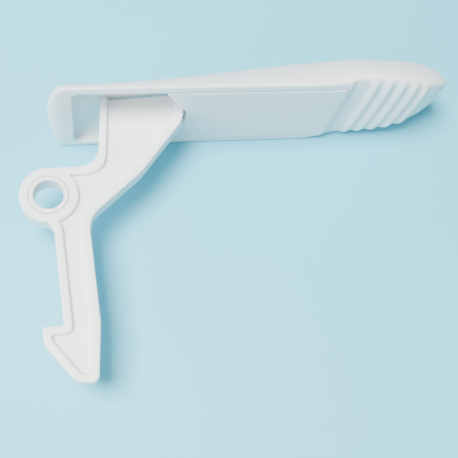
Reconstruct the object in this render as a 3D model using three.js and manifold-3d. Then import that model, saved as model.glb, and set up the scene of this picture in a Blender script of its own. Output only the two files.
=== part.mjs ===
// Stair gate latch: a hooked lever that turns on a pivot pin, with a spring-returned sliding handle.
// Millimetres. The origin is the centre of the pivot, on the lever's middle plane.
// +X runs along the handle to its grip end, +Y is up in use, +Z is the pivot's axis.
import * as THREE from 'three';
import { mergeVertices } from 'three/addons/utils/BufferGeometryUtils.js';
import Module from 'manifold-3d';

const wasm = await Module();
wasm.setup();

// ---- Driving dimensions ----

// Pivot
const boreRadius = 3.5;
const bushWall = 1.1;
const bushProud = 0.1;
const bushChamfer = 0.15;
const bushClearance = 0.08;
const eyeWall = 2.1;

// Hook arm
const armThickness = 5.0;
const webThickness = 2.2;
const rimWidth = 1.9;
const shankLength = 31.0;
const shankWidth = 8.1;
const shankTopX = 0.85;
const shankLean = 0.055;
const shankRound = 14;
const notchRound = 0.5;
const throatRound = 2.2;
const throatDrop = 1.3;
const barbReach = 4.6;
const barbDepth = 13.4;
const barbEdgeRound = 0.7;
const barbNoseDepth = 3.6;
const barbNoseRound = 6;
const toeLength = 6.6;
const toeLift = 0.9;
const toeInset = 1.1;
const toeRound = 3.2;

// Neck and head, between the eye and the handle
const elbowY = -6.2;
const elbowRound = 7;
const kneeX = 22;
const kneeY = 4.9;
const kneeRound = 20;
const neckLean = 1.5;
const neckRound = 14;
const headLeftX = 13.2;
const headRightX = 33.8;
const headTaper = 0.7;
const headShoulderDrop = 1.5;
const headShoulderRound = 6;
const headCornerRound = 0.6;

// Handle
const handleStart = 0.4;
const handleLength = 104.9;
const handleWidth = 30.4;
const undersideY = 19.9;
const shellWall = 1.6;
const heelHeight = 6.65;
const crownHeight = 14.1;
const crownRiseStart = 3;
const crownRiseLength = 79;
const domeFullness = 0.35;
const noseLength = 32.5;
const noseCrownRound = 12.8;
const noseBellyRound = 16.2;
const noseTipHeight = 8.6;
const heelDepth = 4.4;
const heelRound = 3.4;
const heelTipHeight = 2.2;

// Edges of the underside, tighter along the panel than in the finger grip
const undersideExponent = 3.2;
const panelEdgeDepth = 0.5;
const gripEdgeDepth = 2.0;
const gripEdgeEase = 7;

// Finger grip
const gripStart = 73.6;
const gripScoop = 1.0;
const gripRamp = 1.6;
const ridgeCount = 5;
const ridgePitch = 3.75;
const ridgeLead = 6.8;
const ridgeHeight = 0.95;

// Opening in the underside, and the cover that closes the rest of it
const openingStart = 6.4;
const openingRim = 2.5;
const openingCorner = 1.6;
const coverThickness = 1.6;
const coverNotchDepth = 5.8;
const coverStartGap = 0.4;

// Slide between the handle and the arm
const slideTravel = 6.0;
const slideClearance = 0.3;
const sliderOverlap = 1.5;
const sliderLength = 28;
const sliderHeight = 4.0;
const sliderHalfWidth = 4.0;
const windowHalfWidth = 2.2;
const windowEndWall = 4.5;
const windowStart = 7.0;
const postLength = 2.2;
const postHalfWidth = 1.6;
const ribThickness = 1.4;
const roofRibCount = 3;
const roofRibPitch = 11;

// Snap clips of the cover
const clipWidth = 4;
const clipThickness = 1.2;
const clipReach = 2.6;
const clipBarb = 0.8;
const clipSideRoom = 1.0;
const catchHeight = 1.0;

// Return spring
const springWire = 0.45;
const springRadius = 1.5;
const springTurns = 9;

// Corners that would be rounded by less than this stay sharp, and joined solids share this depth.
const smallestRound = 0.05;
const bite = 0.5;

// Share of a side that one corner's rounding may use, and facets round a full circle.
const roundingShare = 0.45;
const circleFacets = 48;

// ---- Values worked out from the driving dimensions ----

const gap = slideClearance;
const armHalf = armThickness / 2;
const eyeRadius = boreRadius + bushWall + bushClearance + eyeWall;
const handleEnd = handleStart + handleLength;
const handleHalf = handleWidth / 2;
const coverTopY = undersideY + coverThickness;
const sliderBottomY = coverTopY + gap;
const sliderStart = headRightX - sliderOverlap;
const sliderEnd = sliderStart + sliderLength;
const windowMin = sliderStart + windowStart;
const windowMax = sliderEnd - windowEndWall;
const sliderRoomY = ceilingAt(windowMin - slideTravel, sliderHalfWidth) - gap;
const sliderTopY = Math.min(sliderBottomY + sliderHeight, sliderRoomY);
const postStart = windowMin + gap;
const guideRibOuter = sliderHalfWidth + gap + ribThickness;
const clipInner = guideRibOuter + clipBarb;
const clipOuter = clipInner + clipThickness;
const openingHalf = handleHalf - openingRim;
const openingEnd = gripStart;
const crownTopY = undersideY + crownHeight;
const roofRibX = Array.from({ length: roofRibCount }, (_, i) => postStart + postLength + i * roofRibPitch);
const clipPositions = roofRibX.slice(1).map((x) => x - (roofRibPitch - ribThickness) / 2);

// ---- Solids ----

function solid(geometry) {
  const bare = geometry.clone();
  bare.deleteAttribute('normal');
  bare.deleteAttribute('uv');
  const merged = mergeVertices(bare, 1e-5);
  const mesh = new wasm.Mesh({
    numProp: 3,
    vertProperties: new Float32Array(merged.attributes.position.array),
    triVerts: new Uint32Array(merged.index.array),
  });
  return new wasm.Manifold(mesh);
}

function geometryOf(manifold) {
  const mesh = manifold.getMesh();
  const geometry = new THREE.BufferGeometry();
  geometry.setAttribute('position', new THREE.BufferAttribute(mesh.vertProperties, 3));
  geometry.setIndex(new THREE.BufferAttribute(mesh.triVerts, 1));
  geometry.computeVertexNormals();
  return geometry;
}

function piece(name, manifold, material) {
  const mesh = new THREE.Mesh(geometryOf(manifold), material);
  mesh.name = name;
  return mesh;
}

function box(x0, x1, y0, y1, z0, z1) {
  const geometry = new THREE.BoxGeometry(x1 - x0, y1 - y0, z1 - z0);
  geometry.translate((x0 + x1) / 2, (y0 + y1) / 2, (z0 + z1) / 2);
  return solid(geometry);
}

// A plate with its outline in the X-Y plane, from z0 to z1.
function plate(shape, z0, z1, curveSegments = 6) {
  const geometry = new THREE.ExtrudeGeometry(shape, { depth: z1 - z0, bevelEnabled: false, curveSegments });
  geometry.translate(0, 0, z0);
  return solid(geometry);
}

// A plate with its outline in the X-Z plane, from y0 to y1.
function flatPlate(shape, y0, y1, curveSegments = 8) {
  const geometry = new THREE.ExtrudeGeometry(shape, { depth: y1 - y0, bevelEnabled: false, curveSegments });
  geometry.rotateX(Math.PI / 2);
  geometry.translate(0, y1, 0);
  return solid(geometry);
}

function disc(radius, z0, z1) {
  const geometry = new THREE.CylinderGeometry(radius, radius, z1 - z0, circleFacets);
  geometry.rotateX(Math.PI / 2);
  geometry.translate(0, 0, (z0 + z1) / 2);
  return solid(geometry);
}

// ---- Outlines made of straight sides with rounded corners ----

// Corners run anticlockwise as { x, y, r }.
function roundedShape(corners) {
  const shape = new THREE.Shape();
  corners.forEach((corner, i) => {
    const before = corners[(i + corners.length - 1) % corners.length];
    const after = corners[(i + 1) % corners.length];
    const here = new THREE.Vector2(corner.x, corner.y);
    const back = new THREE.Vector2(before.x, before.y).sub(here);
    const ahead = new THREE.Vector2(after.x, after.y).sub(here);
    const turn = Math.PI - Math.acos(back.clone().normalize().dot(ahead.clone().normalize()));
    const room = roundingShare * Math.min(back.length(), ahead.length());
    const cut = Math.min(corner.r * Math.tan(turn / 2), room);
    const start = here.clone().addScaledVector(back.normalize(), cut > smallestRound ? cut : 0);
    const end = here.clone().addScaledVector(ahead.normalize(), cut);
    if (i === 0) shape.moveTo(start.x, start.y);
    else shape.lineTo(start.x, start.y);
    if (cut > smallestRound) shape.quadraticCurveTo(here.x, here.y, end.x, end.y);
  });
  shape.closePath();
  return shape;
}

// The same corners with every side moved inwards.
function insetCorners(corners, distance) {
  return corners.map((corner, i) => {
    const before = corners[(i + corners.length - 1) % corners.length];
    const after = corners[(i + 1) % corners.length];
    const inDirection = new THREE.Vector2(corner.x - before.x, corner.y - before.y).normalize();
    const outDirection = new THREE.Vector2(after.x - corner.x, after.y - corner.y).normalize();
    const inNormal = new THREE.Vector2(-inDirection.y, inDirection.x);
    const outNormal = new THREE.Vector2(-outDirection.y, outDirection.x);
    const share = distance / (1 + inNormal.dot(outNormal));
    const convex = inDirection.cross(outDirection) > 0;
    return {
      x: corner.x + (inNormal.x + outNormal.x) * share,
      y: corner.y + (inNormal.y + outNormal.y) * share,
      r: convex ? Math.max(corner.r - distance, notchRound) : corner.r + distance,
    };
  });
}

// ---- The handle's form: a dome that rises to the grip, blunt at the heel, elliptical at the nose ----

function quarterEllipse(share) {
  const s = THREE.MathUtils.clamp(share, 0, 1);
  return Math.sqrt(1 - (1 - s) ** 2);
}

// Zero at the heel's end and at the nose's end, one between them.
function endEase(x, heelSize, noseSize) {
  return quarterEllipse((x - handleStart) / heelSize) * quarterEllipse((handleEnd - x) / noseSize);
}

function halfWidthAt(x) {
  return handleHalf * endEase(x, heelDepth, noseLength);
}

function tipHeightAt(x) {
  return x < (handleStart + handleEnd) / 2 ? heelTipHeight : noseTipHeight;
}

// Heights are measured up from the flat underside.
function crownAt(x) {
  const tip = tipHeightAt(x);
  const rise = THREE.MathUtils.smoothstep(x, crownRiseStart, crownRiseStart + crownRiseLength);
  const height = heelHeight + (crownHeight - heelHeight) * rise;
  return tip + (height - tip) * endEase(x, heelRound, noseCrownRound);
}

function ridgePositions() {
  return Array.from({ length: ridgeCount }, (_, i) => gripStart + ridgeLead + i * ridgePitch);
}

function ridgesAt(x) {
  return ridgePositions().reduce((sum, centre) => {
    const away = Math.abs(x - centre) / (ridgePitch / 2);
    return sum + (away < 1 ? ridgeHeight * Math.cos(away * Math.PI / 2) ** 2 : 0);
  }, 0);
}

// The underside without its ridges: flat, then stepped up into the grip, then up to the nose.
function bellyAt(x) {
  const tip = tipHeightAt(x);
  const scoop = gripScoop * THREE.MathUtils.smoothstep(x, gripStart, gripStart + gripRamp);
  return tip + (scoop - tip) * endEase(x, heelRound, noseBellyRound);
}

// The widest line of the section, where the dome meets the rounded edge of the underside.
// It rises into the grip over a longer stretch than the underside's own step.
function seamAt(x) {
  const ease = THREE.MathUtils.smoothstep(x, gripStart - gripEdgeEase, gripStart + gripEdgeEase);
  const height = panelEdgeDepth + (gripScoop + gripEdgeDepth - panelEdgeDepth) * ease;
  const tip = tipHeightAt(x);
  const seam = tip + (height - tip) * endEase(x, heelRound, noseBellyRound);
  return Math.min(seam, crownAt(x));
}

function formSection(x) {
  const ridges = ridgesAt(x) * endEase(x, heelRound, noseBellyRound);
  return { halfWidth: halfWidthAt(x), top: crownAt(x), seam: seamAt(x), bottom: bellyAt(x) - ridges };
}

// The dome's height at an angle round it, as a share: an arch between an ellipse and a parabola.
function domeShape(angle) {
  const rise = Math.max(Math.sin(angle), 0);
  return rise * (domeFullness + (1 - domeFullness) * rise);
}

// One point of a cross section: over the dome for the first shares, then back under the belly.
function sectionPoint(share, section) {
  const domeShare = 0.7;
  if (share <= domeShare) {
    const angle = Math.PI * share / domeShare;
    const y = section.seam + (section.top - section.seam) * domeShape(angle);
    return { y, z: section.halfWidth * Math.cos(angle) };
  }
  const angle = Math.PI * (share - domeShare) / (1 - domeShare);
  const power = 2 / undersideExponent;
  const across = Math.sign(Math.cos(angle)) * Math.abs(Math.cos(angle)) ** power;
  const away = Math.max(Math.sin(angle), 0) ** power;
  return { y: section.seam + (section.bottom - section.seam) * away, z: -section.halfWidth * across };
}

// A cylinder whose rings each take the cross section at their station along X.
function loft(stations, ringPoints, sectionAt) {
  const rows = stations.length - 1;
  const geometry = new THREE.CylinderGeometry(1, 1, 1, ringPoints, rows, false);
  const position = geometry.attributes.position;
  for (let i = 0; i < position.count; i += 1) {
    const row = Math.round((0.5 - position.getY(i)) * rows);
    const x = stations[row];
    const section = sectionAt(x);
    const radius = Math.hypot(position.getX(i), position.getZ(i));
    let point = { y: section.seam, z: 0 };
    if (radius > 0.5) {
      const turn = Math.atan2(position.getX(i), position.getZ(i)) / (2 * Math.PI);
      const share = turn < -1e-6 ? turn + 1 : Math.max(turn, 0);
      point = sectionPoint(share, section);
    }
    position.setXYZ(i, x, undersideY + point.y, point.z);
  }
  return solid(geometry);
}

// Stations close together where the form turns quickly.
function stationsBetween(from, to, count, easeStart, easeEnd) {
  return Array.from({ length: count + 1 }, (_, i) => {
    let t = i / count;
    if (easeStart && easeEnd) t = (1 - Math.cos(Math.PI * t)) / 2;
    else if (easeStart) t = 1 - Math.cos(Math.PI * t / 2);
    else if (easeEnd) t = Math.sin(Math.PI * t / 2);
    return from + (to - from) * t;
  });
}

function handleForm() {
  const endGap = 0.03;
  const ringPoints = 44;
  const heelSteps = 6;
  const panelSteps = 12;
  const rampSteps = 3;
  const leadSteps = 2;
  const stepsPerRidge = 6;
  const noseSteps = 8;
  const ridges = ridgePositions();
  const ridgesStart = ridges[0] - ridgePitch / 2;
  const ridgesEnd = ridges[ridgeCount - 1] + ridgePitch / 2;
  const stations = [
    ...stationsBetween(handleStart + endGap, handleStart + heelDepth, heelSteps, true, false),
    ...stationsBetween(handleStart + heelDepth, gripStart, panelSteps, false, false).slice(1),
    ...stationsBetween(gripStart, gripStart + gripRamp, rampSteps, false, false).slice(1),
    ...stationsBetween(gripStart + gripRamp, ridgesStart, leadSteps, false, false).slice(1),
    ...stationsBetween(ridgesStart, ridgesEnd, stepsPerRidge * ridgeCount, false, false).slice(1),
    ...stationsBetween(ridgesEnd, handleEnd - endGap, noseSteps, false, true).slice(1),
  ];
  return loft(stations, ringPoints, formSection);
}

// The hollow keeps inside the opening's edges, so the shell stays thick at its shoulders.
function hollowSection(x) {
  const floor = bellyAt(x) + (x > gripStart ? gripScoop : 0) + shellWall;
  return {
    halfWidth: halfWidthAt(x) - openingRim,
    top: crownAt(x) - shellWall,
    seam: floor,
    bottom: floor,
  };
}

function handleHollow() {
  const ringPoints = 32;
  const panelSteps = 8;
  const gripSteps = 8;
  const noseWalls = 3;
  const stations = [
    ...stationsBetween(openingStart, gripStart, panelSteps, false, false),
    ...stationsBetween(gripStart + shellWall, handleEnd - shellWall * noseWalls, gripSteps, false, true),
  ];
  return loft(stations, ringPoints, hollowSection);
}

function openingShape() {
  return roundedShape([
    { x: openingStart, y: -openingHalf, r: openingCorner },
    { x: openingEnd, y: -openingHalf, r: openingCorner },
    { x: openingEnd, y: openingHalf, r: openingCorner },
    { x: openingStart, y: openingHalf, r: openingCorner },
  ]);
}

// The shell's inside ceiling above a station, at a distance from the middle plane.
function ceilingAt(x, away) {
  const section = hollowSection(x);
  const angle = Math.acos(away / section.halfWidth);
  return undersideY + section.seam + (section.top - section.seam) * domeShape(angle);
}

function guideRibs() {
  const inner = guideRibOuter - ribThickness;
  const start = sliderStart + gap;
  const rib = (side) => box(start, openingEnd, sliderBottomY, crownTopY,
    Math.min(side * inner, side * guideRibOuter),
    Math.max(side * inner, side * guideRibOuter));
  return rib(-1).add(rib(1));
}

// Cross ribs stiffen the crown and end just above the slider and the cover.
function roofRibs() {
  const channel = box(sliderStart - gap, handleEnd, undersideY, sliderTopY + gap,
    -(sliderHalfWidth + gap), sliderHalfWidth + gap);
  let ribs = null;
  for (const x of roofRibX) {
    const rib = box(x, x + ribThickness, sliderBottomY, crownTopY, -openingHalf, openingHalf);
    ribs = ribs ? ribs.add(rib) : rib;
  }
  return ribs.subtract(channel);
}

// The post holds the handle at rest, against its end of the slider's window, and pushes the spring.
function slidePost() {
  return box(postStart, postStart + postLength, sliderBottomY, crownTopY,
    -postHalfWidth, postHalfWidth);
}

function clipCatches() {
  const inner = clipOuter + gap;
  let catches = null;
  for (const x of clipPositions) {
    for (const side of [-1, 1]) {
      const half = clipWidth / 2 + clipSideRoom;
      const ledge = box(x - half, x + half, coverTopY + gap, coverTopY + gap + catchHeight,
        Math.min(side * inner, side * handleHalf), Math.max(side * inner, side * handleHalf));
      catches = catches ? catches.add(ledge) : ledge;
    }
  }
  return catches;
}

function handleShell() {
  const form = handleForm();
  const opening = flatPlate(openingShape(), undersideY - bite, undersideY + shellWall + bite);
  const inside = guideRibs().add(roofRibs()).add(slidePost()).add(clipCatches());
  return form.subtract(handleHollow()).subtract(opening).add(inside.intersect(form));
}

// ---- Cover: a flat plate with a notch for the arm, held by four snap clips ----

function coverShape() {
  const half = openingHalf - gap;
  const start = headRightX + coverStartGap;
  const end = openingEnd - gap;
  return roundedShape([
    { x: start - coverNotchDepth, y: -half, r: 0 },
    { x: end, y: -half, r: openingCorner },
    { x: end, y: half, r: openingCorner },
    { x: start - coverNotchDepth, y: half, r: 0 },
    { x: start, y: armHalf + gap, r: notchRound },
    { x: start, y: -armHalf - gap, r: notchRound },
  ]);
}

// Each clip stands off its guide rib by its barb's depth, so that it can bend in past the catch.
function coverClips() {
  const barbBase = coverTopY + gap + catchHeight + gap;
  let clips = null;
  for (const x of clipPositions) {
    for (const side of [-1, 1]) {
      const x0 = x - clipWidth / 2;
      const x1 = x + clipWidth / 2;
      const leg = box(x0, x1, coverTopY - bite, coverTopY + clipReach,
        Math.min(side * clipInner, side * clipOuter),
        Math.max(side * clipInner, side * clipOuter));
      const barb = box(x0, x1, barbBase, coverTopY + clipReach,
        Math.min(side * (clipOuter - bite), side * (clipOuter + clipBarb)),
        Math.max(side * (clipOuter - bite), side * (clipOuter + clipBarb)));
      clips = clips ? clips.add(leg).add(barb) : leg.add(barb);
    }
  }
  return clips;
}

function handleCover() {
  const panel = flatPlate(coverShape(), undersideY, coverTopY);
  return panel.add(coverClips());
}

// ---- Hook arm: eye, shank and barb, with a slider inside the handle ----

// The head's top stays clear of the shell's ceiling at both ends of the slide.
function headTopAt(x) {
  return Math.min(ceilingAt(x - slideTravel, armHalf) - gap, sliderTopY);
}

function armCorners() {
  const shankLeftAt = (y) => shankTopX - shankLean * (y + eyeRadius);
  const notchX = shankLeftAt(-shankLength);
  const barbX = notchX - barbReach;
  const tipY = -shankLength - barbDepth;
  const eyeTopY = eyeRadius - smallestRound;
  return [
    { x: barbX, y: -shankLength, r: barbEdgeRound },
    { x: barbX, y: -shankLength - barbNoseDepth, r: barbNoseRound },
    { x: barbX + toeLength, y: tipY + toeLift, r: toeRound },
    { x: notchX + shankWidth - toeInset, y: tipY, r: toeRound },
    { x: notchX + shankWidth, y: -shankLength, r: shankRound },
    { x: shankLeftAt(elbowY) + shankWidth, y: elbowY, r: elbowRound },
    { x: kneeX, y: kneeY, r: kneeRound },
    { x: headRightX - headTaper, y: undersideY - headShoulderDrop, r: headShoulderRound },
    { x: headRightX, y: headTopAt(headRightX), r: headCornerRound },
    { x: headLeftX, y: headTopAt(headLeftX), r: headCornerRound },
    { x: headLeftX - neckLean, y: eyeTopY, r: neckRound },
    { x: 0, y: eyeTopY, r: 0 },
    { x: -eyeRadius / 2, y: -eyeRadius / 2, r: 0 },
    { x: shankTopX, y: -eyeRadius - throatDrop, r: throatRound },
    { x: notchX, y: -shankLength, r: notchRound },
  ];
}

// The slider's bar rises with the shell's ceiling up to its window, which holds the spring.
function armSlider() {
  const startTopY = Math.min(ceilingAt(sliderStart - slideTravel, sliderHalfWidth) - gap, sliderTopY);
  const bar = plate(roundedShape([
    { x: sliderStart, y: sliderBottomY, r: 0 },
    { x: sliderEnd, y: sliderBottomY, r: 0 },
    { x: sliderEnd, y: sliderTopY, r: 0 },
    { x: windowMin, y: sliderTopY, r: 0 },
    { x: sliderStart, y: startTopY, r: 0 },
  ]), -sliderHalfWidth, sliderHalfWidth);
  const window = box(windowMin, windowMax, sliderBottomY - bite, sliderTopY + bite,
    -windowHalfWidth, windowHalfWidth);
  return bar.subtract(window);
}

// The recess keeps a rim all round, but runs out through the head's top inside the handle.
function recessCorners(corners) {
  return insetCorners(corners, rimWidth).map((corner) => {
    const atHeadTop = corner.y > coverTopY;
    return atHeadTop ? { x: corner.x, y: corner.y + rimWidth + bite, r: 0 } : corner;
  });
}

function hookArm() {
  const corners = armCorners();
  const webHalf = webThickness / 2;
  const outside = armHalf + bite;
  const body = plate(roundedShape(corners), -armHalf, armHalf).add(disc(eyeRadius, -armHalf, armHalf));
  const panel = roundedShape(recessCorners(corners));
  const boss = disc(eyeRadius + smallestRound, -outside, outside);
  const recess = plate(panel, webHalf, outside).add(plate(panel, -outside, -webHalf)).subtract(boss);
  const hole = disc(boreRadius + bushWall + bushClearance, -outside, outside);
  return body.subtract(recess).add(armSlider()).subtract(hole);
}

// ---- Bush and spring ----

function pivotBush() {
  const outer = boreRadius + bushWall;
  const half = armHalf + bushProud;
  const profile = [
    new THREE.Vector2(boreRadius, -half + bushChamfer),
    new THREE.Vector2(boreRadius + bushChamfer, -half),
    new THREE.Vector2(outer - bushChamfer, -half),
    new THREE.Vector2(outer, -half + bushChamfer),
    new THREE.Vector2(outer, half - bushChamfer),
    new THREE.Vector2(outer - bushChamfer, half),
    new THREE.Vector2(boreRadius + bushChamfer, half),
    new THREE.Vector2(boreRadius, half - bushChamfer),
    new THREE.Vector2(boreRadius, -half + bushChamfer),
  ];
  const geometry = new THREE.LatheGeometry(profile, circleFacets);
  geometry.rotateX(Math.PI / 2);
  return solid(geometry);
}

class Helix extends THREE.Curve {
  constructor(start, length, radius, turns) {
    super();
    this.start = start;
    this.length = length;
    this.radius = radius;
    this.turns = turns;
  }

  getPoint(t, target = new THREE.Vector3()) {
    const angle = 2 * Math.PI * this.turns * t;
    const x = this.start.x + this.length * t;
    const y = this.start.y + this.radius * Math.cos(angle);
    return target.set(x, y, this.start.z + this.radius * Math.sin(angle));
  }
}

function returnSpring() {
  const stepsPerTurn = 14;
  const from = postStart + postLength + gap + springWire / 2;
  const to = windowMax - gap - springWire / 2;
  const centre = new THREE.Vector3(from, (sliderBottomY + sliderTopY) / 2, 0);
  const path = new Helix(centre, to - from, springRadius, springTurns);
  const section = new THREE.Shape();
  section.absarc(0, 0, springWire / 2, 0, 2 * Math.PI, false);
  const geometry = new THREE.ExtrudeGeometry(section, {
    extrudePath: path, steps: stepsPerTurn * springTurns, bevelEnabled: false, curveSegments: 3,
  });
  return solid(geometry);
}

// ---- Assembly ----

function surface(color, roughness, metalness = 0) {
  return new THREE.MeshStandardMaterial({ color, roughness, metalness });
}

const whitePlastic = () => surface(0xe6e9ea, 0.42);
const bushPlastic = () => surface(0xdfe3e4, 0.5);
const springSteel = () => surface(0x9a9da1, 0.35, 0.9);

const lever = new THREE.Group();
lever.add(piece('hook_arm', hookArm(), whitePlastic()));
lever.add(piece('return_spring', returnSpring(), springSteel()));

const handle = new THREE.Group();
handle.add(piece('handle_shell', handleShell(), whitePlastic()));
handle.add(piece('handle_cover', handleCover(), whitePlastic()));

const latch = new THREE.Group();
latch.add(piece('pivot_bush', pivotBush(), bushPlastic()));
latch.add(lever);
latch.add(handle);

export default latch;
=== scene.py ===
import math

import bmesh
import bpy
from mathutils import Matrix, Vector


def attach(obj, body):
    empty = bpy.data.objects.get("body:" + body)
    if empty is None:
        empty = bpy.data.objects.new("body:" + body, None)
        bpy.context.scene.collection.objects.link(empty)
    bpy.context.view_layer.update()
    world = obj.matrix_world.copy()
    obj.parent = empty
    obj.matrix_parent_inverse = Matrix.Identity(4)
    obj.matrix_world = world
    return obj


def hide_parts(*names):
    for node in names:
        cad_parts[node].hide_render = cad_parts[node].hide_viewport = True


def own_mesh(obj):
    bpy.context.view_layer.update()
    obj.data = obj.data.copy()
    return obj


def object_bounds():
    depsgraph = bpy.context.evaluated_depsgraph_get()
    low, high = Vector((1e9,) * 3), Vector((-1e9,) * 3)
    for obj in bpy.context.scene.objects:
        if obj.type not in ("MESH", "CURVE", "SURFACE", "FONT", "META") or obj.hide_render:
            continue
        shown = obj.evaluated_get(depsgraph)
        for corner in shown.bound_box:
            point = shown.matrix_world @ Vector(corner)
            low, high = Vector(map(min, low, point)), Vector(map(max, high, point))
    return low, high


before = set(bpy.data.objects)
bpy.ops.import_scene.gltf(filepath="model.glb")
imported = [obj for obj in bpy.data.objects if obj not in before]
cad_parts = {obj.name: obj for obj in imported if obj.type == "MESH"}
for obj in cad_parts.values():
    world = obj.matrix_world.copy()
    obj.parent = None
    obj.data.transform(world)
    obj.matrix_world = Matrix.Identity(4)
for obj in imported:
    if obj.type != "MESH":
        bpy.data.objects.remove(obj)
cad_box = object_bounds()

MM = 0.001

# ---- Camera and light ----

# Where the camera stands in the part's own frame, which way it looks, and its lens on a 36 mm sensor.
CAMERA_AT = Vector((7.52, -64.98, 172.61)) * MM
CAMERA_FORWARD = Vector((0.187, 0.2983, -0.936))
CAMERA_RIGHT = Vector((0.981, -0.1065, 0.162))
LENS_MM = 60.0
SENSOR_MM = 36

# ---- Sizes that the CAD part has too, in millimetres ----

HANDLE_START = 0.4
HANDLE_END = 105.3
HANDLE_HALF = 15.2
UNDERSIDE_Y = 19.9
SHELL_WALL = 1.6
HEEL_HEIGHT = 6.65
CROWN_HEIGHT = 14.1
CROWN_RISE_START = 3
CROWN_RISE_LENGTH = 79
DOME_FULLNESS = 0.35
NOSE_LENGTH = 32.5
NOSE_CROWN_ROUND = 12.8
NOSE_BELLY_ROUND = 16.2
NOSE_TIP_HEIGHT = 8.6
HEEL_DEPTH = 4.4
HEEL_ROUND = 3.4
HEEL_TIP_HEIGHT = 2.2
UNDERSIDE_EXPONENT = 3.2
PANEL_EDGE_DEPTH = 0.5
GRIP_EDGE_DEPTH = 2.0
GRIP_EDGE_EASE = 7
GRIP_START = 73.6
GRIP_SCOOP = 1.0
GRIP_RAMP = 1.6
RIDGE_COUNT = 5
RIDGE_PITCH = 3.75
RIDGE_LEAD = 6.8
RIDGE_HEIGHT = 0.95
OPENING_START = 6.4
OPENING_RIM = 2.5
OPENING_CORNER = 1.6
COVER_TOP_Y = 21.5
GAP = 0.3
SLIDER_START = 32.3
SLIDER_TOP_Y = 25.8
SLIDER_HALF = 4.0
WINDOW_START = 39.3
WINDOW_END = 55.8
POST_LENGTH = 2.2
POST_HALF = 1.6
RIB_THICKNESS = 1.4
ROOF_RIB_COUNT = 3
ROOF_RIB_PITCH = 11
CLIP_WIDTH = 4
CLIP_THICKNESS = 1.2
CLIP_BARB = 0.8
CLIP_SIDE_ROOM = 1.0
CATCH_HEIGHT = 1.0
SPRING_WIRE = 0.45
SPRING_RADIUS = 1.5
SPRING_TURNS = 9

OPENING_HALF = HANDLE_HALF - OPENING_RIM
GUIDE_RIB_OUTER = SLIDER_HALF + GAP + RIB_THICKNESS
CLIP_OUTER = GUIDE_RIB_OUTER + CLIP_BARB + CLIP_THICKNESS
SLIDER_BOTTOM_Y = COVER_TOP_Y + GAP
POST_START = WINDOW_START + GAP
SPRING_START = POST_START + POST_LENGTH + GAP + SPRING_WIRE / 2
SPRING_END = WINDOW_END - GAP - SPRING_WIRE / 2

# ---- Moulding detail that only the visible surface has ----

SHELL_VOXEL = 0.24
PART_VOXEL = 0.17
SEAM_BEAD = 0.05
SEAM_HALF = 0.16
OUTSIDE_BAND = 0.64
COVER_GROWTH = 0.13


# ---- The handle's form ----

def clamp(value, low=0.0, high=1.0):
    return min(max(value, low), high)


def smoothstep(value, start, end):
    t = clamp((value - start) / (end - start))
    return t * t * (3 - 2 * t)


def quarter_ellipse(share):
    return math.sqrt(1 - (1 - clamp(share)) ** 2)


def end_ease(x, heel_size, nose_size):
    heel = quarter_ellipse((x - HANDLE_START) / heel_size)
    return heel * quarter_ellipse((HANDLE_END - x) / nose_size)


def half_width_at(x):
    return HANDLE_HALF * end_ease(x, HEEL_DEPTH, NOSE_LENGTH)


def tip_height_at(x):
    return HEEL_TIP_HEIGHT if x < (HANDLE_START + HANDLE_END) / 2 else NOSE_TIP_HEIGHT


def crown_at(x):
    tip = tip_height_at(x)
    rise = smoothstep(x, CROWN_RISE_START, CROWN_RISE_START + CROWN_RISE_LENGTH)
    height = HEEL_HEIGHT + (CROWN_HEIGHT - HEEL_HEIGHT) * rise
    return tip + (height - tip) * end_ease(x, HEEL_ROUND, NOSE_CROWN_ROUND)


def belly_at(x):
    tip = tip_height_at(x)
    scoop = GRIP_SCOOP * smoothstep(x, GRIP_START, GRIP_START + GRIP_RAMP)
    return tip + (scoop - tip) * end_ease(x, HEEL_ROUND, NOSE_BELLY_ROUND)


def ridges_at(x):
    total = 0
    for i in range(RIDGE_COUNT):
        away = abs(x - GRIP_START - RIDGE_LEAD - i * RIDGE_PITCH) / (RIDGE_PITCH / 2)
        if away < 1:
            total += RIDGE_HEIGHT * math.cos(away * math.pi / 2) ** 2
    return total


def seam_at(x):
    ease = smoothstep(x, GRIP_START - GRIP_EDGE_EASE, GRIP_START + GRIP_EDGE_EASE)
    height = PANEL_EDGE_DEPTH + (GRIP_SCOOP + GRIP_EDGE_DEPTH - PANEL_EDGE_DEPTH) * ease
    tip = tip_height_at(x)
    return min(tip + (height - tip) * end_ease(x, HEEL_ROUND, NOSE_BELLY_ROUND), crown_at(x))


def form_section(x):
    bottom = belly_at(x) - ridges_at(x) * end_ease(x, HEEL_ROUND, NOSE_BELLY_ROUND)
    return half_width_at(x), crown_at(x), seam_at(x), bottom


def inset_section(x, wall, rim):
    floor = belly_at(x) + (GRIP_SCOOP if x > GRIP_START else 0) + wall
    return half_width_at(x) - rim, crown_at(x) - wall, floor, floor


def section_point(share, section):
    half_width, top, seam, bottom = section
    dome_share = 0.7
    if share <= dome_share:
        angle = math.pi * share / dome_share
        rise = max(math.sin(angle), 0)
        arch = rise * (DOME_FULLNESS + (1 - DOME_FULLNESS) * rise)
        return seam + (top - seam) * arch, half_width * math.cos(angle)
    angle = math.pi * (share - dome_share) / (1 - dome_share)
    power = 2 / UNDERSIDE_EXPONENT
    across = math.copysign(abs(math.cos(angle)) ** power, math.cos(angle))
    away = max(math.sin(angle), 0) ** power
    return seam + (bottom - seam) * away, -half_width * across


# ---- Meshes ----

def new_object(name, bm):
    mesh = bpy.data.meshes.new(name)
    bm.to_mesh(mesh)
    bm.free()
    obj = bpy.data.objects.new(name, mesh)
    bpy.context.scene.collection.objects.link(obj)
    return obj


def eased_stations(start, end, count):
    return [start + (end - start) * (1 - math.cos(math.pi * i / count)) / 2 for i in range(count + 1)]


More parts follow.
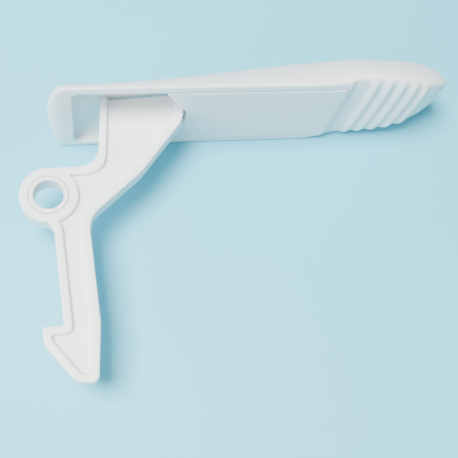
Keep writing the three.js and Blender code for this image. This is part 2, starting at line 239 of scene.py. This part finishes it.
def even_stations(start, end, step):
    count = math.ceil((end - start) / step)
    return [start + (end - start) * i / count for i in range(count + 1)]


def loft(name, stations, ring_points, section_at):
    bm = bmesh.new()
    rings = []
    for x in stations:
        section = section_at(x)
        ring = []
        for i in range(ring_points):
            y, z = section_point(i / ring_points, section)
            ring.append(bm.verts.new(Vector((x, UNDERSIDE_Y + y, z)) * MM))
        rings.append(ring)
    for a, b in zip(rings, rings[1:]):
        for i in range(ring_points):
            j = (i + 1) % ring_points
            bm.faces.new((a[i], a[j], b[j], b[i]))
    bm.faces.new(rings[0][::-1])
    bm.faces.new(rings[-1])
    bmesh.ops.recalc_face_normals(bm, faces=bm.faces)
    return new_object(name, bm)


def add_cuboid(bm, x0, x1, y0, y1, z0, z1):
    centre = Vector(((x0 + x1) / 2, (y0 + y1) / 2, (z0 + z1) / 2)) * MM
    size = Vector((x1 - x0, y1 - y0, z1 - z0)) * MM
    place = Matrix.Translation(centre) @ Matrix.Diagonal(size.to_4d())
    place[3][3] = 1
    bmesh.ops.create_cube(bm, size=1, matrix=place)


def add_disc(bm, x, y, z0, z1, radius, segments=40):
    place = Matrix.Translation(Vector((x, y, (z0 + z1) / 2)) * MM)
    bmesh.ops.create_cone(bm, cap_ends=True, segments=segments, radius1=radius * MM, radius2=radius * MM,
                          depth=(z1 - z0) * MM, matrix=place)


def apply_modifiers(obj):
    depsgraph = bpy.context.evaluated_depsgraph_get()
    mesh = bpy.data.meshes.new_from_object(obj.evaluated_get(depsgraph))
    obj.modifiers.clear()
    old = obj.data
    obj.data = mesh
    bpy.data.meshes.remove(old)


def boolean(obj, other, operation):
    modifier = obj.modifiers.new("boolean", "BOOLEAN")
    modifier.operation = operation
    modifier.solver = "EXACT"
    modifier.use_self = operation == "INTERSECT"
    modifier.object = other
    bpy.context.view_layer.update()
    apply_modifiers(obj)
    bpy.data.objects.remove(other)


def join(obj, other):
    bm = bmesh.new()
    bm.from_mesh(obj.data)
    bm.from_mesh(other.data)
    bm.to_mesh(obj.data)
    bm.free()
    bpy.data.objects.remove(other)


def mould(obj, voxel, smoothing):
    """Turns joined solids into one skin with the soft edges of a moulding."""
    remesh = obj.modifiers.new("remesh", "REMESH")
    remesh.mode = "VOXEL"
    remesh.voxel_size = voxel * MM
    smooth = obj.modifiers.new("smooth", "SMOOTH")
    smooth.factor = 0.5
    smooth.iterations = smoothing
    bpy.context.view_layer.update()
    apply_modifiers(obj)
    obj.data.shade_smooth()


def copy_of_node(name, node):
    obj = bpy.data.objects.new(name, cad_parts[node].data.copy())
    bpy.context.scene.collection.objects.link(obj)
    obj.data.materials.clear()
    bm = bmesh.new()
    bm.from_mesh(obj.data)
    bmesh.ops.remove_doubles(bm, verts=bm.verts, dist=1e-7)
    bm.to_mesh(obj.data)
    bm.free()
    return obj


# ---- Handle shell ----

def opening_prism():
    bm = bmesh.new()
    height = SHELL_WALL + 1
    add_cuboid(bm, OPENING_START, GRIP_START, UNDERSIDE_Y - 0.5, UNDERSIDE_Y - 0.5 + height,
               -OPENING_HALF, OPENING_HALF)
    upright = [e for e in bm.edges if abs(e.verts[0].co.y - e.verts[1].co.y) > height * MM / 2]
    bmesh.ops.bevel(bm, geom=upright, offset=OPENING_CORNER * MM, segments=8, profile=0.5, affect="EDGES")
    return new_object("opening", bm)


def inside_features():
    """Guide ribs beside the slider, cross ribs over it, the stop post and the ledges for the clips."""
    bm = bmesh.new()
    top = UNDERSIDE_Y + CROWN_HEIGHT
    inner = SLIDER_HALF + GAP
    channel_top = SLIDER_TOP_Y + GAP
    for side in (-1, 1):
        z0, z1 = sorted((side * inner, side * GUIDE_RIB_OUTER))
        add_cuboid(bm, SLIDER_START + GAP, GRIP_START, SLIDER_BOTTOM_Y, top, z0, z1)
    first_rib = POST_START + POST_LENGTH
    for i in range(ROOF_RIB_COUNT):
        x = first_rib + i * ROOF_RIB_PITCH
        add_cuboid(bm, x, x + RIB_THICKNESS, channel_top, top, -OPENING_HALF, OPENING_HALF)
        for side in (-1, 1):
            z0, z1 = sorted((side * inner, side * OPENING_HALF))
            add_cuboid(bm, x, x + RIB_THICKNESS, SLIDER_BOTTOM_Y, top, z0, z1)
    add_cuboid(bm, POST_START, POST_START + POST_LENGTH, SLIDER_BOTTOM_Y, top, -POST_HALF, POST_HALF)
    ledge = CLIP_OUTER + GAP
    half = CLIP_WIDTH / 2 + CLIP_SIDE_ROOM
    for i in range(1, ROOF_RIB_COUNT):
        x = first_rib + i * ROOF_RIB_PITCH - (ROOF_RIB_PITCH - RIB_THICKNESS) / 2
        for side in (-1, 1):
            z0, z1 = sorted((side * ledge, side * HANDLE_HALF))
            add_cuboid(bm, x - half, x + half, COVER_TOP_Y + GAP, COVER_TOP_Y + GAP + CATCH_HEIGHT, z0, z1)
    features = new_object("inside", bm)
    stations = even_stations(OPENING_START, HANDLE_END - 3, 1.5)
    bound = loft("bound", stations, 64, lambda x: inset_section(x, SHELL_WALL / 2, OPENING_RIM / 2))
    boolean(features, bound, "INTERSECT")
    return features


def raise_seam(obj):
    """A hairline of flash where the two halves of the mould met, round the widest line."""
    for vertex, normal in [(v, v.normal.copy()) for v in obj.data.vertices]:
        x, y, z = vertex.co / MM
        outside = abs(z) > half_width_at(x) - OUTSIDE_BAND
        away = abs(y - UNDERSIDE_Y - seam_at(x))
        if outside and away < SEAM_HALF:
            vertex.co += normal * SEAM_BEAD * MM


def make_shell():
    end_gap = 0.03
    end_steps = 24
    panel_step = 1.2
    ridge_step = 0.22
    nose_tip_length = 6
    heel_zone = HANDLE_START + 2 * HEEL_DEPTH
    ridge_zone = GRIP_START - 1
    tip_closeness = [1 - math.sin(math.pi * i / (2 * end_steps)) for i in range(1, end_steps + 1)]
    stations = (eased_stations(HANDLE_START + end_gap, heel_zone, end_steps)
                + even_stations(heel_zone, ridge_zone, panel_step)[1:]
                + even_stations(ridge_zone, HANDLE_END - nose_tip_length, ridge_step)[1:]
                + [HANDLE_END - end_gap - (nose_tip_length - end_gap) * t for t in tip_closeness])
    shell = loft("shell_skin", stations, 112, form_section)
    hollow_stations = (even_stations(OPENING_START, GRIP_START, 1.5)
                       + even_stations(GRIP_START + SHELL_WALL, HANDLE_END - 3 * SHELL_WALL, 1.2))
    hollow = loft("hollow", hollow_stations, 72, lambda x: inset_section(x, SHELL_WALL, OPENING_RIM))
    boolean(shell, hollow, "DIFFERENCE")
    boolean(shell, opening_prism(), "DIFFERENCE")
    join(shell, inside_features())
    mould(shell, SHELL_VOXEL, 5)
    raise_seam(shell)
    return shell


# ---- Cover, arm and bush: the CAD solids with moulded edges and the marks of moulding ----

def make_cover():
    """The cover's panel swells a little in its opening, so its joint line is a hairline."""
    cover = mould_node("cover_skin", "handle_cover", 4)
    edge_band = 0.8
    for vertex in cover.data.vertices:
        x, y, z = vertex.co / MM
        if y > COVER_TOP_Y + GAP / 2:
            continue
        if abs(z) > OPENING_HALF - GAP - edge_band:
            vertex.co.z += math.copysign(COVER_GROWTH * MM, z)
        if x > GRIP_START - GAP - edge_band:
            vertex.co.x += COVER_GROWTH * MM
    return cover


def mould_node(name, node, smoothing, extra=None):
    obj = copy_of_node(name, node)
    if extra:
        join(obj, extra)
    mould(obj, PART_VOXEL, smoothing)
    return obj


def ejector_marks():
    """Round pads that the ejector pins left on the back of the arm's web."""
    bm = bmesh.new()
    web_back = -1.1
    pad_height = 0.22
    pad_root = 0.3
    pad_radius = 1.25
    for x, y in ((5.6, -13), (6.6, -27), (4.6, -38.5), (16.5, 6.5), (24.5, 17)):
        add_disc(bm, x, y, web_back - pad_height, web_back + pad_root, pad_radius)
    return new_object("marks", bm)


def make_arm():
    return mould_node("arm_skin", "hook_arm", 5, ejector_marks())


def make_bush():
    return mould_node("bush_skin", "pivot_bush", 2)


# ---- Return spring: closed end coils, open in the middle ----

def make_spring():
    sides = 14
    steps = SPRING_TURNS * 36
    closed_turns = 1.25
    closed_pitch = 1.05 * SPRING_WIRE
    centre_y = (SLIDER_BOTTOM_Y + SLIDER_TOP_Y) / 2
    closed_share = closed_turns / SPRING_TURNS
    closed_length = closed_turns * closed_pitch
    length = SPRING_END - SPRING_START

    def along(t):
        if t < closed_share:
            return closed_length * t / closed_share
        if t > 1 - closed_share:
            return length - closed_length * (1 - t) / closed_share
        return closed_length + (length - 2 * closed_length) * (t - closed_share) / (1 - 2 * closed_share)

    def point(t):
        angle = 2 * math.pi * SPRING_TURNS * t
        return Vector((SPRING_START + along(t), centre_y + SPRING_RADIUS * math.cos(angle),
                       SPRING_RADIUS * math.sin(angle)))

    bm = bmesh.new()
    rings = []
    for i in range(steps + 1):
        t = i / steps
        angle = 2 * math.pi * SPRING_TURNS * t
        out = Vector((0, math.cos(angle), math.sin(angle)))
        ahead = (point(min(t + 0.001, 1)) - point(max(t - 0.001, 0))).normalized()
        side = ahead.cross(out).normalized()
        ring = []
        for k in range(sides):
            turn = 2 * math.pi * k / sides
            offset = out * math.cos(turn) + side * math.sin(turn)
            ring.append(bm.verts.new((point(t) + offset * SPRING_WIRE / 2) * MM))
        rings.append(ring)
    for a, b in zip(rings, rings[1:]):
        for k in range(sides):
            j = (k + 1) % sides
            bm.faces.new((a[k], a[j], b[j], b[k]))
    bm.faces.new(rings[0][::-1])
    bm.faces.new(rings[-1])
    bmesh.ops.recalc_face_normals(bm, faces=bm.faces)
    spring = new_object("spring_wire", bm)
    spring.data.shade_smooth()
    return spring


# ---- Materials ----

class Nodes:
    """A short way to write a material's node tree."""

    def __init__(self, name):
        self.material = bpy.data.materials.new(name)
        self.material.use_nodes = True
        self.tree = self.material.node_tree
        self.shader = self.tree.nodes["Principled BSDF"]

    def add(self, kind, **values):
        node = self.tree.nodes.new("ShaderNode" + kind)
        for key, value in values.items():
            if hasattr(node, key):
                setattr(node, key, value)
            else:
                node.inputs[key.replace("_", " ")].default_value = value
        return node

    def link(self, a, b):
        self.tree.links.new(a, b)

    def place(self, scale=(1, 1, 1)):
        coordinates = self.add("TexCoord")
        mapping = self.add("Mapping")
        mapping.inputs["Scale"].default_value = scale
        self.link(coordinates.outputs["Object"], mapping.inputs["Vector"])
        return mapping.outputs["Vector"]

    def noise(self, scale, detail=3.0, roughness=0.5, stretch=(1, 1, 1)):
        node = self.add("TexNoise", Scale=scale, Detail=detail, Roughness=roughness)
        self.link(self.place(stretch), node.inputs["Vector"])
        return node.outputs["Fac"]

    def ramp(self, source, low, high, from_value=0.0, to_value=1.0):
        node = self.add("MapRange")
        node.inputs["From Min"].default_value = low
        node.inputs["From Max"].default_value = high
        node.inputs["To Min"].default_value = from_value
        node.inputs["To Max"].default_value = to_value
        self.link(source, node.inputs["Value"])
        return node.outputs["Result"]

    def mix(self, factor, a, b):
        node = self.add("Mix", data_type="RGBA")
        self.link(factor, node.inputs["Factor"])
        for socket, value in ((node.inputs[6], a), (node.inputs[7], b)):
            if isinstance(value, tuple):
                socket.default_value = value
            else:
                self.link(value, socket)
        return node.outputs[2]

    def math(self, operation, a, b):
        node = self.add("Math", operation=operation)
        for socket, value in zip(node.inputs, (a, b)):
            if isinstance(value, (int, float)):
                socket.default_value = value
            else:
                self.link(value, socket)
        return node.outputs[0]

    def bump(self, height, strength, distance, normal=None):
        node = self.add("Bump", Strength=strength, Distance=distance)
        self.link(height, node.inputs["Height"])
        if normal:
            self.link(normal, node.inputs["Normal"])
        return node.outputs["Normal"]


def white_plastic(name, tone, grain_scale, seed_offset):
    """Moulded polypropylene: milky, finely grained, rubbed smoother and a little grey where it is handled,
    its sharp edges lightened by a painted highlight.
    """
    n = Nodes(name)
    cloud = n.noise(70 + seed_offset, 4, 0.55)
    fine = n.noise(900 + 10 * seed_offset, 3, 0.6)
    flow = n.noise(60 + seed_offset, 5, 0.6, (0.35, 2.2, 1.4))
    edge_polish_and_sheen = n.ramp(n.add("NewGeometry").outputs["Pointiness"], 0.5, 0.62)
    scuff = n.ramp(n.noise(420, 6, 0.7, (0.3, 2.6, 1.2)), 0.6, 0.74)
    warm = tuple(c * s for c, s in zip(tone, (1.0, 0.985, 0.965))) + (1,)
    cool = tuple(c * s for c, s in zip(tone, (0.955, 0.985, 1.0))) + (1,)
    worn = tuple(c * 0.9 for c in tone) + (1,)
    colour = n.mix(n.ramp(cloud, 0.32, 0.7), warm, cool)
    colour = n.mix(n.math("MULTIPLY", scuff, 0.22), colour, worn)
    # Painted highlight: convex edges are mixed towards near-white to stand in for the sheen of polished
    # edges; the roughness drop below is the real polish.
    colour = n.mix(n.math("MULTIPLY", edge_polish_and_sheen, 0.35), colour, (0.97, 0.975, 0.97, 1))
    n.link(colour, n.shader.inputs["Base Color"])
    rough = n.math("ADD", n.ramp(fine, 0.3, 0.7, 0.36, 0.5), n.math("MULTIPLY", scuff, 0.12))
    rough = n.math("SUBTRACT", rough, n.math("MULTIPLY", edge_polish_and_sheen, 0.1))
    n.link(rough, n.shader.inputs["Roughness"])
    grain = n.noise(grain_scale, 2, 0.5)
    normal = n.bump(flow, 0.25, 0.00025)
    normal = n.bump(grain, 0.12, 0.00006, normal)
    n.link(normal, n.shader.inputs["Normal"])
    n.shader.inputs["Subsurface Weight"].default_value = 0.35
    n.shader.inputs["Subsurface Radius"].default_value = (1.0, 0.95, 0.9)
    n.shader.inputs["Subsurface Scale"].default_value = 0.0022
    n.shader.inputs["IOR"].default_value = 1.49
    return n.material


def spring_steel():
    n = Nodes("spring_steel")
    drawn = n.noise(2600, 4, 0.6, (0.2, 1, 1))
    cloud = n.noise(300, 3, 0.5)
    colour = n.mix(n.ramp(cloud, 0.35, 0.65), (0.47, 0.48, 0.5, 1), (0.62, 0.61, 0.6, 1))
    n.link(colour, n.shader.inputs["Base Color"])
    n.link(n.ramp(drawn, 0.3, 0.7, 0.22, 0.42), n.shader.inputs["Roughness"])
    n.link(n.bump(drawn, 0.2, 0.00002), n.shader.inputs["Normal"])
    n.shader.inputs["Metallic"].default_value = 1.0
    return n.material


# ---- Assembly ----

def place_piece(obj, node, body, material):
    obj.data.materials.clear()
    obj.data.materials.append(material)
    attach(obj, body)
    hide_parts(node)


def build_latch():
    arm_white = white_plastic("arm_plastic", (0.86, 0.87, 0.865), 5200, 1)
    handle_white = white_plastic("handle_plastic", (0.86, 0.87, 0.87), 4600, 5)
    cover_white = white_plastic("cover_plastic", (0.85, 0.865, 0.87), 5000, 9)
    bush_white = white_plastic("bush_plastic", (0.83, 0.835, 0.83), 6000, 3)
    place_piece(make_shell(), "handle_shell", "handle", handle_white)
    place_piece(make_cover(), "handle_cover", "handle", cover_white)
    place_piece(make_arm(), "hook_arm", "lever", arm_white)
    place_piece(make_bush(), "pivot_bush", "gate_pivot", bush_white)
    spring = make_spring()
    place_piece(spring, "return_spring", "lever", spring_steel())
    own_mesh(spring)


# ---- Stage ----

def add_camera():
    data = bpy.data.cameras.new("camera")
    data.sensor_width = SENSOR_MM
    data.lens = LENS_MM
    data.clip_start = 0.005
    camera = bpy.data.objects.new("camera", data)
    forward = CAMERA_FORWARD.normalized()
    right = (CAMERA_RIGHT - forward * CAMERA_RIGHT.dot(forward)).normalized()
    up = right.cross(forward)
    turn = Matrix((right, up, -forward)).transposed().to_4x4()
    camera.matrix_world = Matrix.Translation(CAMERA_AT) @ turn
    bpy.context.scene.collection.objects.link(camera)
    bpy.context.scene.camera = camera


def add_floor():
    n = Nodes("floor")
    colour = n.mix(n.ramp(n.noise(6, 3, 0.5), 0.3, 0.7), (0.11, 0.58, 0.75, 1), (0.14, 0.61, 0.77, 1))
    n.link(colour, n.shader.inputs["Base Color"])
    n.shader.inputs["Roughness"].default_value = 0.6
    bpy.ops.mesh.primitive_plane_add(size=4, location=(0, 0, cad_box[0][2] - 0.2 * MM))
    floor = bpy.context.object
    floor.name = "floor"
    floor.data.materials.append(n.material)


def add_light(name, at, size, power, colour=(1, 1, 1)):
    data = bpy.data.lights.new(name, "AREA")
    data.size = size
    data.energy = power
    data.color = colour
    light = bpy.data.objects.new(name, data)
    light.location = at
    light.rotation_euler = (Vector((0.04, 0, 0)) - light.location).to_track_quat("-Z", "Y").to_euler()
    bpy.context.scene.collection.objects.link(light)


def add_sky():
    world = bpy.data.worlds.new("world")
    bpy.context.scene.world = world
    world.use_nodes = True
    world.node_tree.nodes["Background"].inputs["Color"].default_value = (0.95, 0.98, 1, 1)
    world.node_tree.nodes["Background"].inputs["Strength"].default_value = 0.32


add_camera()
build_latch()
add_floor()
add_light("key", Vector((-0.3, -0.02, 0.95)), 0.4, 34)
add_light("side", Vector((-0.75, -0.42, 0.3)), 0.35, 7, (0.9, 0.97, 1))
add_light("fill", Vector((-0.1, -0.8, 0.5)), 0.8, 1.0)
add_sky()
